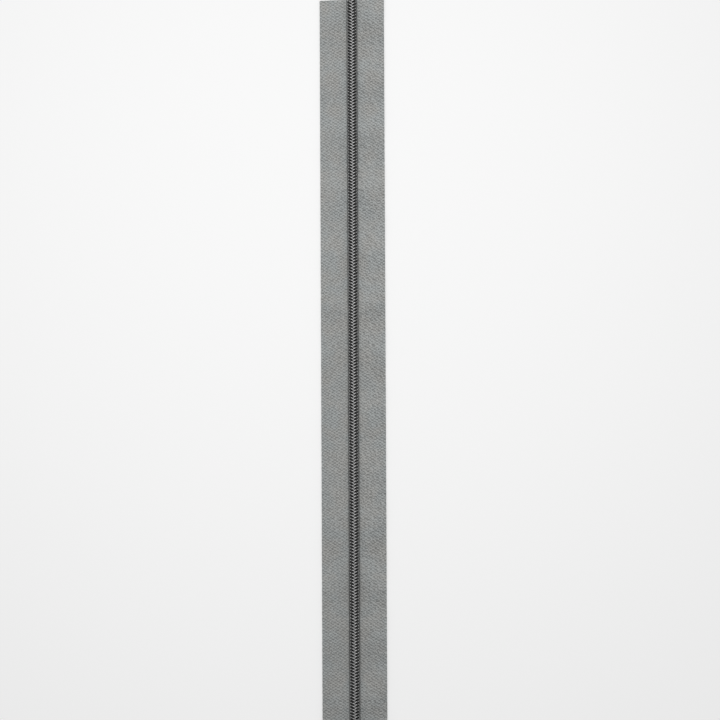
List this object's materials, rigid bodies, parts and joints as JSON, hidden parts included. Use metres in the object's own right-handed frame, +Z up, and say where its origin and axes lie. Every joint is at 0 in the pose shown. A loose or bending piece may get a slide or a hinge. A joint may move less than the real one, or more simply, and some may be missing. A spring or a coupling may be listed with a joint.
{
  "type": "nylon coil zipper",
  "caption": "Closed run of size 5 nylon coil zipper on two woven tapes, cut at the ends, with an auto-lock slider near its lower end.",
  "frame": {"origin": "under the middle of the zipper, at the surface that the slider's lower plate rests on", "axes": "+X across the tapes to the right with the coil side up, +Y along the chain from the slider towards the cut upper end, +Z up out of the coil side"},
  "size_m": [0.0378, 0.402, 0.0075],
  "materials": {
    "tape": "plain-woven polyester, mid grey, matt",
    "coil": "extruded nylon monofilament, dark gunmetal, satin",
    "cord": "twisted polyester filler cord, dark grey",
    "thread": "polyester sewing thread, dark grey",
    "slider": "die-cast zinc, gunmetal plated, satin",
    "pawl": "stamped steel strip",
    "spring": "spring steel leaf"
  },
  "bodies": {
    "left_stringer": {"left_tape": "tape", "left_coil": "coil", "left_core_cord": "cord", "left_inner_stitch": "thread", "left_outer_stitch": "thread", "left_inner_looper": "thread", "left_outer_looper": "thread"},
    "right_stringer": {"right_tape": "tape", "right_coil": "coil", "right_core_cord": "cord", "right_inner_stitch": "thread", "right_outer_stitch": "thread", "right_inner_looper": "thread", "right_outer_looper": "thread"},
    "slider": {"slider_body": "slider", "slider_crown": "slider", "lock_spring": "spring"},
    "pawl": {"lock_pawl": "pawl"},
    "tab": {"pull_tab": "slider"}
  },
  "joints": [
    {"name": "slider_travel", "type": "slide", "parent": "left_stringer", "child": "slider", "axis": [0, 1, 0], "range_m": [0, 0.343], "deforming": ["left_tape", "left_coil", "left_inner_stitch"]},
    {"name": "right_side_opening", "type": "hinge", "parent": "left_stringer", "child": "right_stringer", "pos_m": [0, 0.197, 0], "axis": [0, 0, 1], "range_deg": [0, 1.76], "deforming": ["right_tape", "right_coil", "right_core_cord", "right_inner_stitch", "right_outer_stitch", "right_inner_looper", "right_outer_looper"]},
    {"name": "tab_swing", "type": "hinge", "parent": "slider", "child": "tab", "pos_m": [0, -0.16725, 0.00542], "axis": [-1, 0, 0], "range_deg": [0, 180]},
    {"name": "pawl_lift", "type": "slide", "parent": "slider", "child": "pawl", "axis": [0, 0, 1], "range_m": [0, 0.0004], "stiffness_N_per_m": 150, "springref_m": -0.0005, "deforming": ["lock_spring"]}
  ],
  "couplings": [
    {"joint": "right_side_opening", "follows": "slider_travel", "rad_per_m": 0.08905}
  ]
}
